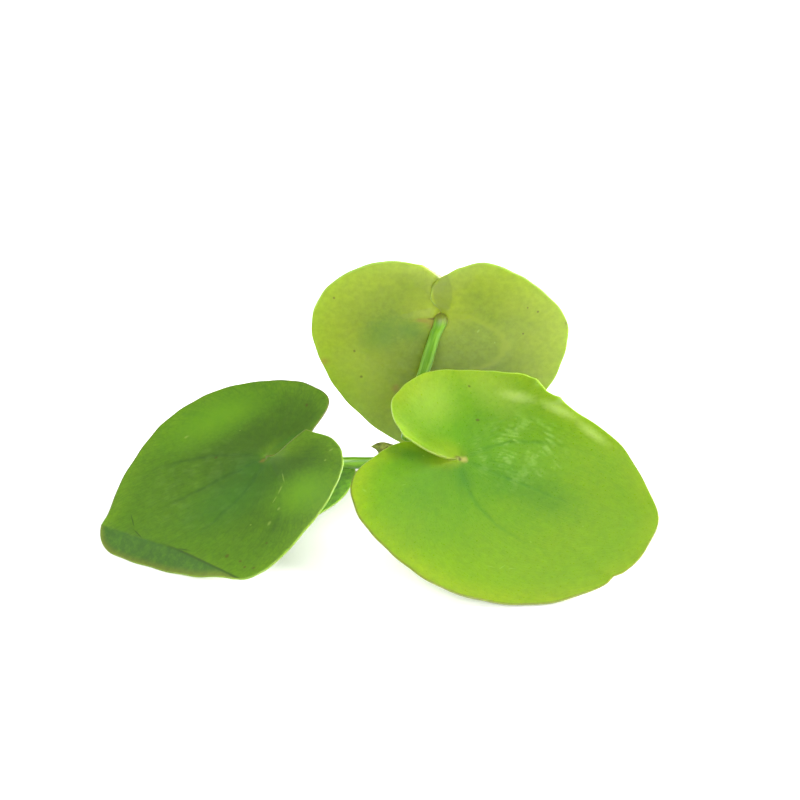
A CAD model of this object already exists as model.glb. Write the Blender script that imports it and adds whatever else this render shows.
# %% [markdown]
# # Amazon frogbit, lifted out of the water
#
# This lesson dresses a plain model of a small floating plant. Three large heart-round blades
# and a small one stand on green stalks round a short rootstock, with one withered scale
# beside it. The plain model gives sizes and places. Every piece here is worked out again as a
# smooth surface, with veins, a thin edge, flecks and a leaf's own translucency.

# %% Load the frame
import math

import bpy
import numpy as np
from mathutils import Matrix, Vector


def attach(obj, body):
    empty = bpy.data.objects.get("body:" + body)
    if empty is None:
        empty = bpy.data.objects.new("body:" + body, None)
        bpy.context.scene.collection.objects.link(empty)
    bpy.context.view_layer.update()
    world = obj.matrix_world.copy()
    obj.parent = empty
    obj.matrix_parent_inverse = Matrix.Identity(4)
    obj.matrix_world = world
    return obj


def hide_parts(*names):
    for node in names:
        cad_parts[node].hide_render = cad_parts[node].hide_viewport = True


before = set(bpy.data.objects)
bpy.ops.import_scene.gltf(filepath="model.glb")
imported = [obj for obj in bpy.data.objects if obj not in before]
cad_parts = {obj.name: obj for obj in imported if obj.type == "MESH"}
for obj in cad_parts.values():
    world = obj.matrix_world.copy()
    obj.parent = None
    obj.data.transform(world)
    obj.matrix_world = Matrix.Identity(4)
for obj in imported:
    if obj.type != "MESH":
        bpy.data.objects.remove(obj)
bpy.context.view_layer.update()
MM = 0.001
PLANT_AT = np.array((0.26, -1.06, 0.0))
print("nodes:", sorted(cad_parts))

# %% [markdown]
# ## Camera
#
# The plant is seen from 24 degrees above the table through a long lens, so the three large
# blades keep almost parallel outlines. A long lens far away was chosen over a short one close
# by, because a short lens would swell the front rim of the right blade.

# %% Camera at the photograph's angle
CAMERA_HEIGHT_DEG = 24.0
CAMERA_AT_MM = (3.8, -317.7, 163.2)
LENS_MM = 100.0

camera = bpy.data.objects.new("camera", bpy.data.cameras.new("camera"))
camera.data.lens = LENS_MM
camera.data.clip_start = 0.01
camera.location = Vector(CAMERA_AT_MM) * MM
camera.rotation_euler = (math.radians(90.0 - CAMERA_HEIGHT_DEG), 0.0, 0.0)
bpy.context.scene.collection.objects.link(camera)
bpy.context.scene.camera = camera
print("camera", CAMERA_AT_MM, "looks down", CAMERA_HEIGHT_DEG, "degrees")

# %% [markdown]
# ## Table and light
#
# The plant lies on a white table in a bright white room, lit so well that the table stays
# clean white. A wet leaf shows whatever is above it, so the sky is bright low down and darker
# overhead: the greens stay deep there, and each soft box leaves its own pale patch.

# %% White table
TABLE_SIZE = 6.0
TABLE_WHITE = (0.9, 0.9, 0.9, 1)
TABLE_GLOW = 0.11

half = TABLE_SIZE / 2
table_mesh = bpy.data.meshes.new("table")
table_mesh.from_pydata(
    [(-half, -half, 0), (half, -half, 0), (half, half, 0), (-half, half, 0)], [], [(0, 1, 2, 3)]
)
table = bpy.data.objects.new("table", table_mesh)
table.location.z = -0.00005
bpy.context.scene.collection.objects.link(table)
white = bpy.data.materials.new("table_white")
white.use_nodes = True
white.node_tree.nodes["Principled BSDF"].inputs["Base Color"].default_value = TABLE_WHITE
white.node_tree.nodes["Principled BSDF"].inputs["Roughness"].default_value = 0.9
white.node_tree.nodes["Principled BSDF"].inputs["Emission Color"].default_value = (1, 1, 1, 1)
white.node_tree.nodes["Principled BSDF"].inputs["Emission Strength"].default_value = TABLE_GLOW
table_mesh.materials.append(white)

# %% Bright low sky, dark overhead
SKY_LOW = 1.2
SKY_HIGH = 0.14
SKY_LOW_UP_TO = 0.30
SKY_HIGH_FROM = 0.70

world = bpy.data.worlds.new("white_room")
world.use_nodes = True
bpy.context.scene.world = world
sky = world.node_tree
direction = sky.nodes.new("ShaderNodeTexCoord")
split = sky.nodes.new("ShaderNodeSeparateXYZ")
fade = sky.nodes.new("ShaderNodeMapRange")
fade.interpolation_type = "SMOOTHSTEP"
for socket, value in (
    ("From Min", SKY_LOW_UP_TO), ("From Max", SKY_HIGH_FROM), ("To Min", SKY_LOW), ("To Max", SKY_HIGH)
):
    fade.inputs[socket].default_value = value
sky.links.new(direction.outputs["Generated"], split.inputs[0])
sky.links.new(split.outputs["Z"], fade.inputs["Value"])
sky.nodes["Background"].inputs["Color"].default_value = (1, 1, 1, 1)
sky.links.new(fade.outputs["Result"], sky.nodes["Background"].inputs["Strength"])


def soft_box(name, azimuth, height, distance, size, watts):
    """A square lamp that faces the plant. Its place is distance times the unit vector at the
    azimuth (0 is to the back, 90 to the right) and the height above level, in degrees."""
    lamp = bpy.data.lights.new(name, "AREA")
    lamp.shape = "SQUARE"
    lamp.size = size
    lamp.energy = watts
    box = bpy.data.objects.new(name, lamp)
    turn, up = math.radians(azimuth), math.radians(height)
    place = Vector((math.sin(turn) * math.cos(up), math.cos(turn) * math.cos(up), math.sin(up)))
    box.location = place * distance
    box.rotation_euler = place.to_track_quat("Z", "Y").to_euler()
    bpy.context.scene.collection.objects.link(box)
    return box


soft_box("front_box", azimuth=-172, height=28, distance=1.2, size=1.1, watts=21.0)
soft_box("right_box", azimuth=76, height=24, distance=1.2, size=0.65, watts=52.0)
soft_box("left_box", azimuth=-70, height=26, distance=1.2, size=0.8, watts=9.0)
soft_box("sheen_box", azimuth=-20, height=78, distance=1.2, size=0.5, watts=0.7)
soft_box("glint_box", azimuth=15, height=45, distance=1.2, size=0.3, watts=1.7)
bpy.context.scene.view_settings.view_transform = "Standard"
print("sky", SKY_LOW, "to", SKY_HIGH, "and soft boxes")

# %% [markdown]
# ## The shape of a blade
#
# A frogbit blade is nearly round, with a narrow notch that runs in to the stalk. It could be
# cut from a flat disc, but then the two lobes beside the notch couldn't pass each other. Here
# it is one surface of two numbers: sweep goes round the stalk from one notch edge to the
# other, and reach goes out from the stalk to the rim. The rim is a smooth curve through the
# distances at a few angles. The two lobes are lifted apart, the rim turns up, and the left
# blade is bent down along a straight crease.

# %% Measurements of the four blades, in millimetres and degrees
BLADES = {
    "blade_right": {
        "stalk_top": (12.8, -1.6, 12.9), "heading": -32.2, "dip": 16.8, "bank": 24.6,
        "rim": (
            (-176, 6.0), (-163, 9.5), (-143, 13.4), (-130, 17.0), (-113, 19.0), (-90, 20.5),
            (-61, 25.0), (-34, 29.3), (-20, 31.2), (-5, 33.1), (5, 33.3), (14, 32.7),
            (24, 29.5), (41, 25.2), (60, 20.4), (76, 18.7), (90, 18.7), (100, 17.6),
            (114, 16.7), (143, 16.0), (165, 14.8), (175, 14.0), (183, 12.4), (191, 10.3), (199, 8.8),
        ),
        "curl": (42, 27), "curl_power": (3, 1.5), "lift": (-1.2, 1.2), "dish": 1.6, "waves": (0.35, 5, 40),
        "nicks": ((69, 2.0, -0.15, 0.3), (76, 2.5, 0.15, -0.1), (84, 2.5, -0.1, 0.3), (-9, 1.6, 0.35, 0.2)),
        "hole": 0.95, "thickness": (1.0, 0.4), "crease": None,
    },
    "blade_left": {
        "stalk_top": (-17.7, 0.9, 12.0), "heading": -158.7, "dip": 19.3, "bank": -15.0,
        "rim": (
            (-186, 5.0), (-178, 7.4), (-171, 9.6), (-162, 13.8), (-144, 16.1), (-117, 17.2),
            (-87, 18.4), (-57, 20.2), (-23, 23.8), (-8, 26.8), (-2, 29.2), (3, 29.6),
            (10, 28.2), (34, 25.3), (50, 24.7), (60, 25.2), (65, 24.1), (82, 19.4),
            (105, 16.0), (135, 13.6), (161, 10.7), (172, 8.5), (181, 7.5),
        ),
        "curl": (-19, -26), "curl_power": (3, 3), "lift": (-1.0, 0.9), "dish": 0.6, "waves": (0.25, 4, 0),
        "hole": 0.95, "thickness": (1.0, 0.4),
        "crease": {"angle": 34.4, "distance": 21.3, "bend": 40.0, "radius": 0.7, "open": 0.065},
    },
    "blade_back": {
        "stalk_top": (10.1, 17.5, 29.3), "heading": 87.7, "dip": 72.0, "bank": -2.2,
        "rim": (
            (-186, 6.6), (-175, 8.0), (-165, 9.6), (-150, 12.8), (-125, 15.2), (-102, 17.8),
            (-82, 21.0), (-60, 22.8), (-40, 25.0), (-14, 29.2), (0, 31.0), (14, 29.2),
            (37, 24.7), (60, 22.2), (91, 20.7), (122, 17.0), (142, 14.0), (158, 10.9),
            (173, 7.6), (186, 6.3),
        ),
        "curl": (12, 12), "curl_power": (3, 3), "lift": (-0.8, 0.7), "dish": 0.6, "waves": (0.4, 4, 60),
        "hole": 0.95, "thickness": (1.0, 0.4), "crease": None, "lens": 18.0,
    },
    "blade_small": {
        "stalk_top": (-9.0, 18.4, 1.7), "heading": -120.0, "dip": 4.0, "bank": 0.0,
        "rim": (
            (-150, 4.4), (-140, 5.0), (-105, 6.6), (-70, 9.4), (-40, 13.8), (-15, 19.2),
            (0, 21.0), (15, 19.2), (40, 12.6), (60, 8.6), (90, 6.0), (118, 4.8),
        ),
        "curl": (0, 0), "curl_power": (3, 3), "lift": (0.0, 0.0), "dish": 0.3, "waves": (0.15, 3, 0),
        "hole": 0.55, "thickness": (0.5, 0.35), "crease": None,
    },
}
LOBE_SHARE = 0.3
LIFT_FULL_AT_MM = 4.0
DISH_POWER, LOBE_DISH_POWER = 3.0, 1.4
RIM_UNEVEN = 0.0022
LIFT_AT_STALK = 0.45
print(len(BLADES), "blades")


# %% Curves that the shape is made of
def smooth_step(value):
    """0 below 0, 1 above 1, and 3 x squared minus 2 x cubed between them."""
    x = np.clip(value, 0.0, 1.0)
    return x * x * (3.0 - 2.0 * x)


def through_points(known, wanted):
    """A smooth curve through (x, y) points, read at the wanted x: cubic pieces whose slope
    at each point is that of the line between its neighbours."""
    xs, ys = np.array(known, dtype=float).T
    slopes = np.gradient(ys, xs)
    i = np.clip(np.searchsorted(xs, wanted) - 1, 0, len(xs) - 2)
    span = xs[i + 1] - xs[i]
    s = (wanted - xs[i]) / span
    return (
        ys[i] * (1 + 2 * s) * (1 - s) ** 2
        + slopes[i] * span * s * (1 - s) ** 2
        + ys[i + 1] * s * s * (3 - 2 * s)
        + slopes[i + 1] * span * s * s * (s - 1)
    )


def axes_of(blade):
    """The blade's own axes: the tip direction from heading and dip, left from the level line
    rolled by the bank, and upright as their cross product."""
    heading, dip, bank = (math.radians(blade[k]) for k in ("heading", "dip", "bank"))
    tip = np.array(
        (math.cos(heading) * math.cos(dip), math.sin(heading) * math.cos(dip), -math.sin(dip))
    )
    level = np.array((-math.sin(heading), math.cos(heading), 0.0))
    left = level * math.cos(bank) + np.cross(tip, level) * math.sin(bank)
    return tip, left, np.cross(tip, left)


def past_crease(x, y, crease):
    """How far a point lies past the crease, and how far along it. The crease is a straight
    line that opens outwards at one end: the line's distance grows by a share of u plus the
    root of u squared plus 4, where u is the way along it."""
    angle = math.radians(crease["angle"])
    along = y * math.cos(angle) - x * math.sin(angle)
    u = along + 3.0
    distance = crease["distance"] + crease["open"] * (u + np.sqrt(u * u + 4.0))
    return x * math.cos(angle) + y * math.sin(angle) - distance, along, distance


def folded(x, y, crease):
    """What lies past the crease line goes down round a small arc and straight on, keeping its
    length: across becomes radius times the sine of the turned angle plus the rest times the
    cosine of the bend, and the drop is the matching one minus cosine and sine."""
    angle, bend, radius = math.radians(crease["angle"]), math.radians(crease["bend"]), crease["radius"]
    across, along, distance = past_crease(x, y, crease)
    turned = np.clip(across / radius, 0.0, bend)
    beyond = np.maximum(across - radius * bend, 0.0)
    kept = np.where(across > 0, radius * np.sin(turned) + beyond * math.cos(bend), across)
    drop = radius * (1 - np.cos(turned)) + beyond * math.sin(bend)
    out = kept + distance
    return (
        out * math.cos(angle) - along * math.sin(angle),
        out * math.sin(angle) + along * math.cos(angle),
        drop,
    )


# %% [markdown]
# ## Veins
#
# The main veins of this leaf leave the stalk at every angle and bend round to meet again near
# the tip. Circles through the stalk and the tip do the same, and the angle at which such a
# circle leaves the stalk has a short formula, so the veins can be drawn by that angle alone.
# On the upper side they are shallow grooves, and on the underside low ribs.

# %% Vein angle and relief
VEINS = {
    "blade_right": {"turn": 9.0, "tip_at": 34.0, "spacing": 59.0},
    "blade_left": {"turn": 0.0, "tip_at": 40.0, "spacing": 47.0},
    "blade_back": {"turn": 0.0, "tip_at": 38.0, "spacing": 52.0},
    "blade_small": {"turn": 0.0, "tip_at": 30.0, "spacing": 60.0},
}
GROOVE_DEPTH = 0.02
GROOVE_WIDTH = 0.4
RIB_HEIGHT = 0.02
RIB_WIDTH = 0.5
DIMPLE_DEPTH = 0.3
DIMPLE_RADIUS = 1.0


def vein_angle(x, y, veins):
    """The angle, in degrees, at which the circle through the stalk, the tip and this point
    leaves the stalk: the arc tangent of d y over d x minus r squared, where d is the tip's
    distance and x and y are turned to face it."""
    turn = math.radians(veins["turn"])
    x, y = x * math.cos(turn) + y * math.sin(turn), y * math.cos(turn) - x * math.sin(turn)
    far = veins["tip_at"]
    return np.degrees(np.arctan2(far * y, far * x - x * x - y * y))


def vein_lines(x, y, veins, width):
    """1 on a main vein, falling to 0 as a bell of the given width, in millimetres. The way to
    the nearest vein is the angle left over, times the distance from the stalk."""
    angle = vein_angle(x, y, veins)
    spacing = veins["spacing"]
    left_over = (angle + spacing / 2) % spacing - spacing / 2
    way = np.radians(left_over) * np.hypot(x, y)
    strength = smooth_step(np.hypot(x, y) / 2.0) * smooth_step(2.4 - np.hypot(x, y) / 12.0)
    return strength * np.exp(-(way / width) ** 2)


def cushions(x, y, veins, cells):
    """Low uneven cushions between the veins. Vein angle and distance from the stalk make a
    lattice whose points are each shifted a little. A point's height is the way to the nearest
    of them, squared and turned over, inside a soft round patch."""
    cx, cy, radius = cells["patch"]
    patch = smooth_step(1.5 - 1.5 * np.hypot(x - cx, y - cy) / radius)
    u = np.radians(vein_angle(x, y, veins)) * cells["rows"]
    v = np.hypot(x, y) / cells["ring"]
    u, v = u + 0.35 * np.sin(1.9 * v + 0.7 * u), v + 0.4 * np.sin(1.3 * u + 2.0) + 0.5 * u
    nearest = np.full(np.shape(u), 9.0)
    for i in (-1, 0, 1):
        for j in (-1, 0, 1):
            ui, vj = np.floor(u) + i, np.floor(v) + j
            shift_u = 0.5 + 0.4 * np.sin(127.1 * ui + 311.7 * vj)
            shift_v = 0.5 + 0.4 * np.sin(269.5 * ui + 183.3 * vj)
            nearest = np.minimum(nearest, np.hypot(u - ui - shift_u, v - vj - shift_v))
    return cells["height"] * patch * (1 - nearest ** 2)


QUILTS = {
    "blade_right": {"patch": (7.0, 6.5, 13.0), "rows": 11, "ring": 1.15, "height": 0.1},
    "blade_left": {"patch": (10.0, 0.0, 18.0), "rows": 9, "ring": 2.2, "height": 0.015},
    "blade_back": {"patch": (8.0, 0.0, 18.0), "rows": 9, "ring": 2.2, "height": 0.012},
    "blade_small": {"patch": (8.0, 0.0, 10.0), "rows": 8, "ring": 2.0, "height": 0.01},
}
# The spongy pad under each large blade: its middle, its half length and its half width
PADS = {
    "blade_right": (6.5, 0.0, 8.0, 12.0), "blade_left": (6.0, 0.0, 8.0, 11.0),
    "blade_back": (5.5, 0.0, 7.0, 11.3), "blade_small": (5.0, 0.0, 5.0, 4.0),
}
PAD_HEIGHT = 0.22
PAD_EDGE = 0.25


def pad(x, y, size):
    """A low raised oval: a smooth step down across its rim."""
    cx, cy, long, wide = size
    out = np.hypot((x - cx) / long, (y - cy) / wide)
    return PAD_HEIGHT * smooth_step((1 + PAD_EDGE / 2 - out) / PAD_EDGE)


# %% [markdown]
# ## From a surface to a thin solid
#
# A real blade has two sides and a thin round edge. Solidify could thicken the surface, but it
# leaves a square edge. Instead an upper and a lower skin are worked out on one grid. They
# share their points along the rim and both notch edges, and near those edges the thickness
# follows a quarter circle, so the edge is round. Rows crowd together towards the edges.

# %% The two skins of a blade
SWEEP_STEPS = 400
REACH_STEPS = 100
EDGE_ROUNDING = 0.28
RIM_CROWDING = 1.6
NOTCH_CROWDING = 0.5


def blade_grid(blade):
    """Sweep and reach of every grid point. Reach is 1 minus (1 - t) to the crowding power,
    and sweep mixes t with half of 1 minus the cosine of pi t."""
    t, u = np.linspace(0, 1, SWEEP_STEPS + 1), np.linspace(0, 1, REACH_STEPS + 1)
    sweep = (1 - NOTCH_CROWDING) * t + NOTCH_CROWDING * (0.5 - 0.5 * np.cos(math.pi * t))
    return np.meshgrid(sweep, 1 - (1 - u) ** RIM_CROWDING, indexing="ij")


def leaf_plane(blade, sweep, reach):
    """x towards the tip and y to the left, the distance to the nearest edge, the rim's
    distance, and the lift of the lobes, for a flat blade."""
    first, last = blade["rim"][0][0], blade["rim"][-1][0]
    rim_angle = first + (last - first) * sweep
    rim = through_points(blade["rim"], rim_angle)
    for at, wide, deep, _ in blade.get("nicks", ()):
        rim = rim - deep * np.exp(-((rim_angle - at) / wide) ** 2)
    rim = rim * (1 + RIM_UNEVEN * (np.sin(0.19 * rim_angle) + np.sin(0.47 * rim_angle + 2.0)))
    radius = rim * reach
    past_hole = np.maximum(radius - blade["hole"], 0.0) / (rim - blade["hole"])
    near_right = smooth_step(1 - sweep / LOBE_SHARE)
    near_left = smooth_step(1 - (1 - sweep) / LOBE_SHARE)
    still = 1 - past_hole
    curl = blade["curl"][0] * near_right ** 3 * still ** blade["curl_power"][0]
    curl = curl + blade["curl"][1] * near_left ** 3 * still ** blade["curl_power"][1]
    lens = blade.get("lens", 0.0) * np.sin(math.pi * past_hole)
    lens = lens * (near_left ** 3 - near_right ** 3)
    angle = np.radians(rim_angle + curl + lens)
    lift = blade["lift"][0] * near_right + blade["lift"][1] * near_left
    lift = lift * (LIFT_AT_STALK + (1 - LIFT_AT_STALK) * past_hole)
    lift = lift * smooth_step(radius / LIFT_FULL_AT_MM)
    lobe = np.maximum(near_right, near_left)
    bowl = past_hole ** (DISH_POWER + (LOBE_DISH_POWER - DISH_POWER) * lobe)
    to_notch = radius * np.radians((last - first) * np.minimum(sweep, 1 - sweep))
    edge = np.minimum(rim - radius, to_notch)
    return radius * np.cos(angle), radius * np.sin(angle), angle, edge, past_hole, bowl, lift


def blade_skins(name):
    """The upper and lower skin, in metres, with the flat x and y and the way to the edge.
    The middle sheet is the raised and folded surface, moved down by half the thickness. Each
    skin lies half the thickness to its side, plus its own relief, along the sheet's normal."""
    blade, veins = BLADES[name], VEINS[name]
    sweep, reach = blade_grid(blade)
    x, y, angle, edge, past_hole, bowl, lift = leaf_plane(blade, sweep, reach)
    wave_height, wave_count, wave_start = blade["waves"]
    wave = wave_height * np.sin(wave_count * angle + math.radians(wave_start))
    height = lift + (blade["dish"] + wave) * bowl
    for at, wide, _, raised in blade.get("nicks", ()):
        bell = np.exp(-((np.degrees(angle) - at) / wide) ** 2)
        height = height + raised * bell * past_hole ** 12
    flat_x, flat_y = x, y
    if blade["crease"]:
        x, y, drop = folded(x, y, blade["crease"])
        height = height - drop
    tip, left, up = axes_of(blade)
    sheet = (
        np.array(blade["stalk_top"]) + PLANT_AT
        + np.multiply.outer(x, tip) + np.multiply.outer(y, left) + np.multiply.outer(height, up)
    )
    normal = np.cross(np.gradient(sheet, axis=1), np.gradient(sheet, axis=0))
    normal = normal / np.maximum(np.linalg.norm(normal, axis=2, keepdims=True), 1e-12)
    near_stalk = smooth_step(2.0 - np.hypot(flat_x, flat_y) / blade["hole"])[..., None]
    normal = normal * np.sign((normal * up).sum(axis=2, keepdims=True))
    normal = normal * (1 - near_stalk) + up * near_stalk
    normal = normal / np.linalg.norm(normal, axis=2, keepdims=True)
    at_stalk, at_rim = blade["thickness"]
    full = at_stalk + (at_rim - at_stalk) * past_hole
    full = at_rim + (full - at_rim) * smooth_step(0.25 + edge / 3.0)
    inward = np.clip(edge / EDGE_ROUNDING, 0.0, 1.0)
    inward[:, 0] = 1.0
    open_share = np.sqrt(1 - (1 - inward) ** 2)
    away_from_edge = smooth_step(edge / 1.5)
    away_from_edge[:, 0] = 1.0
    dimple = DIMPLE_DEPTH * np.exp(-(np.hypot(flat_x, flat_y) / DIMPLE_RADIUS) ** 2)
    above = cushions(flat_x, flat_y, veins, QUILTS[name]) - dimple
    above = above - GROOVE_DEPTH * vein_lines(flat_x, flat_y, veins, GROOVE_WIDTH)
    below = RIB_HEIGHT * vein_lines(flat_x, flat_y, veins, RIB_WIDTH)
    below = below + pad(flat_x, flat_y, PADS[name])
    middle = sheet - normal * (full / 2)[..., None]
    upper = middle + normal * (full / 2 * open_share + above * away_from_edge)[..., None]
    lower = middle - normal * (full / 2 * open_share + below * away_from_edge)[..., None]
    crease_mm = np.full(flat_x.shape + (3,), -99.0)
    if blade["crease"]:
        crease_mm[..., 0], crease_mm[..., 1] = past_crease(flat_x, flat_y, blade["crease"])[:2]
    ripple = cushions(flat_x, flat_y, veins, QUILTS[name]) / QUILTS[name]["height"]
    return upper * MM, lower * MM, flat_x, flat_y, edge, crease_mm, ripple


# %% Closing the skins into a mesh
def grid_faces(index):
    """Four-sided faces of a grid of point numbers, and triangles at its first column, where
    all rows share one point."""
    a, b, c, d = index[:-1, 1:-1], index[:-1, 2:], index[1:, 2:], index[1:, 1:-1]
    quads = np.stack([a, b, c, d], axis=-1).reshape(-1, 4)
    fan = np.stack([index[:-1, 0], index[:-1, 1], index[1:, 1]], axis=-1)
    return quads, fan


def put_attribute(mesh, name, kind, values):
    """Stores one value for each point: whole numbers of floats, or vectors of three."""
    made = mesh.attributes.new(name, kind, "POINT")
    made.data.foreach_set("value" if kind == "FLOAT" else "vector", np.ravel(values).astype("f4"))


def faces_to_mesh(name, points, faces):
    """A smooth mesh from an array of points and lists of faces. If the volume, the sum of
    each corner fan's triple products, comes out negative, all faces are turned round."""
    triangles = np.concatenate(
        [f[:, [0, i, i + 1]] for f in faces for i in range(1, f.shape[1] - 1)]
    )
    p, q, r = (points[triangles[:, k]] for k in range(3))
    if (p * np.cross(q, r)).sum() < 0:
        faces = [f[:, ::-1] for f in faces]
    mesh = bpy.data.meshes.new(name)
    mesh.from_pydata(points.tolist(), [], [face for f in faces for face in f.tolist()])
    mesh.shade_smooth()
    return mesh


def blade_piece(name):
    """One blade as a closed thin solid, with its flat x and y in millimetres, the way to the
    edge, and 1 on the upper side and 0 below."""
    upper, lower, x, y, edge, crease_mm, ripple = blade_skins(name)
    rows, cols = x.shape
    top = np.arange(rows * cols).reshape(rows, cols)
    top[:, 0] = top[0, 0]
    bottom = top + rows * cols
    bottom[0, 1:], bottom[-1, 1:], bottom[:, -1] = top[0, 1:], top[-1, 1:], top[:, -1]
    top_quads, top_fan = grid_faces(top)
    low_quads, low_fan = grid_faces(bottom)
    ends = np.array([
        [top[0, 0], bottom[0, 0], top[0, 1]], [bottom[0, 0], top[0, 0], top[-1, 1]]
    ])
    faces = [top_quads, top_fan, low_quads[:, ::-1], low_fan[:, ::-1], ends]
    points = np.concatenate([upper.reshape(-1, 3), lower.reshape(-1, 3)])
    used = np.unique(np.concatenate([f.ravel() for f in faces]))
    renumber = np.zeros(len(points), dtype=int)
    renumber[used] = np.arange(len(used))
    mesh = faces_to_mesh(name + "_skin", points[used], [renumber[f] for f in faces])
    flat = np.stack([x, y, np.zeros_like(x)], axis=-1).reshape(-1, 3)
    put_attribute(mesh, "leaf_mm", "FLOAT_VECTOR", np.concatenate([flat, flat])[used])
    put_attribute(mesh, "edge_mm", "FLOAT", np.tile(edge.ravel(), 2)[used])
    put_attribute(mesh, "ripple", "FLOAT", np.tile(ripple.ravel(), 2)[used])
    if BLADES[name]["crease"]:
        both = np.tile(crease_mm.reshape(-1, 3), (2, 1))
        put_attribute(mesh, "crease_mm", "FLOAT_VECTOR", both[used])
    side = np.concatenate([np.ones(rows * cols), np.zeros(rows * cols)])
    put_attribute(mesh, "upper_side", "FLOAT", side[used])
    piece = bpy.data.objects.new(name + "_skin", mesh)
    bpy.context.scene.collection.objects.link(piece)
    return piece


blades = {name: blade_piece(name) for name in BLADES}
print({name: len(piece.data.polygons) for name, piece in blades.items()})

# %% [markdown]
# ## Stalks
#
# A stalk is a soft round tube that bends once or twice and widens a little under its blade. A
# curve with a bevel would do, but its rings can't flare or swell. So a circle is carried along
# the path as a grid of numbers: one goes round it and the other along it. The path is made of
# cubic spans whose directions at the knots are the mean of the directions on both sides.

# %% Ways of the stalks, in millimetres
STALKS = {
    "stalk_right": {
        "blade": "blade_right",
        "way": ((6.6, 15.8, 3.4), (9.4, 9.4, 6.2), (12.0, 3.8, 8.4)),
        "knee": 2.6,
    },
    "stalk_left": {
        "blade": "blade_left",
        "way": ((2.7, 17.0, 3.7), (-0.1, 15.0, 4.3), (-5.8, 12.0, 5.6), (-12.6, 6.5, 8.2)),
        "knee": 2.6,
    },
    "stalk_back": {
        "blade": "blade_back",
        "way": ((4.6, 19.1, 6.4), (6.0, 18.6, 14.0), (7.8, 17.4, 20.9), (9.2, 16.8, 26.2)),
        "knee": 1.2,
    },
    "stalk_small": {
        "blade": "blade_small",
        "way": ((2.4, 19.0, 0.6), (-4.5, 18.6, 0.55)),
        "knee": 0.9,
    },
}
STALK_RADIUS = 0.95
SMALL_STALK_RADIUS = 0.36
KNEE_MIDDLE = 0.5
# Where the stalk ends below the upper side, as a share of the blade's thickness
STALK_END = 0.35
HANDLE_SHARE = 1 / 2.5614


def stalk_line(knots, per_span):
    """Points of a path through the knots. Each knot's direction is the sum of the unit
    vectors to and from its neighbours, and its two handles lie along it, at the length of the
    span over 2.5614. Each span is the cubic Bezier curve of its knots and handles."""
    knots = np.array(knots, dtype=float)
    before = np.vstack([2 * knots[0] - knots[1], knots[:-1]])
    after = np.vstack([knots[1:], 2 * knots[-1] - knots[-2]])
    to_next = np.linalg.norm(after - knots, axis=1, keepdims=True)
    from_last = np.linalg.norm(knots - before, axis=1, keepdims=True)
    direction = (after - knots) / to_next + (knots - before) / from_last
    direction = direction / np.linalg.norm(direction, axis=1, keepdims=True)
    out_handle = (knots + direction * to_next * HANDLE_SHARE)[:-1, None]
    in_handle = (knots - direction * from_last * HANDLE_SHARE)[1:, None]
    t = np.linspace(0, 1, per_span, endpoint=False)[None, :, None]
    first, last = knots[:-1, None], knots[1:, None]
    spans = (
        first * (1 - t) ** 3 + out_handle * 3 * t * (1 - t) ** 2
        + in_handle * 3 * t * t * (1 - t) + last * t ** 3
    )
    return np.vstack([spans.reshape(-1, 3), knots[-1:]])


# %% Tubes along the paths
STALK_SIDES = 48
SPAN_STEPS = 40
FLARE = 0.15
FLARE_LENGTH = 1.1
STALK_SWELL = 0.04
RIDGE = 0.018
CAP_LENGTH = 0.5


def tube(name, path, radius):
    """A circle of the given radius, in millimetres, carried along the path. Each ring lies
    across the path: its two axes are cross products of the path's direction. Fine ridges run
    along it, as a sine of the angle. Both ends close to a point."""
    steps = np.linalg.norm(np.diff(path, axis=0), axis=1)
    along = np.concatenate([[0.0], np.cumsum(steps)])
    forward = np.gradient(path, along, axis=0)
    forward = forward / np.linalg.norm(forward, axis=1, keepdims=True)
    side = np.cross(forward, (0.36, 0.87, -0.34))
    side = side / np.linalg.norm(side, axis=1, keepdims=True)
    other = np.cross(forward, side)
    turn = np.linspace(0, 2 * math.pi, STALK_SIDES, endpoint=False)
    ridged = radius[:, None] * (1 + RIDGE * np.sin(9 * turn) + RIDGE * np.sin(14 * turn + 1.0))
    ring = (
        np.cos(turn)[None, :, None] * side[:, None] + np.sin(turn)[None, :, None] * other[:, None]
    )
    points = path[:, None] + ring * ridged[..., None]
    rows, cols = points.shape[:2]
    number = np.arange(rows * cols).reshape(rows, cols)
    number[0], number[-1] = number[0, 0], number[-1, 0]
    index = np.hstack([number, number[:, :1]])
    a, b, c, d = index[1:-2, :-1], index[1:-2, 1:], index[2:-1, 1:], index[2:-1, :-1]
    quads = np.stack([a, b, c, d], axis=-1).reshape(-1, 4)
    first = np.stack([index[0, :-1], index[1, 1:], index[1, :-1]], axis=-1)
    last = np.stack([index[-1, :-1], index[-2, :-1], index[-2, 1:]], axis=-1)
    faces = [quads, first, last]
    used = np.unique(np.concatenate([f.ravel() for f in faces]))
    renumber = np.zeros(rows * cols, dtype=int)
    renumber[used] = np.arange(len(used))
    flat_points = points.reshape(-1, 3)[used] * MM
    mesh = faces_to_mesh(name + "_skin", flat_points, [renumber[f] for f in faces])
    turn_grid, along_grid = np.meshgrid(turn, along)
    streak = np.stack([np.cos(turn_grid), np.sin(turn_grid), along_grid / 12.0], axis=-1)
    put_attribute(mesh, "round_and_along", "FLOAT_VECTOR", streak.reshape(-1, 3)[used])
    to_end = (along[-1] - along_grid).ravel()[used]
    put_attribute(mesh, "to_blade_mm", "FLOAT", to_end)
    piece = bpy.data.objects.new(name + "_skin", mesh)
    bpy.context.scene.collection.objects.link(piece)
    return piece


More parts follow.
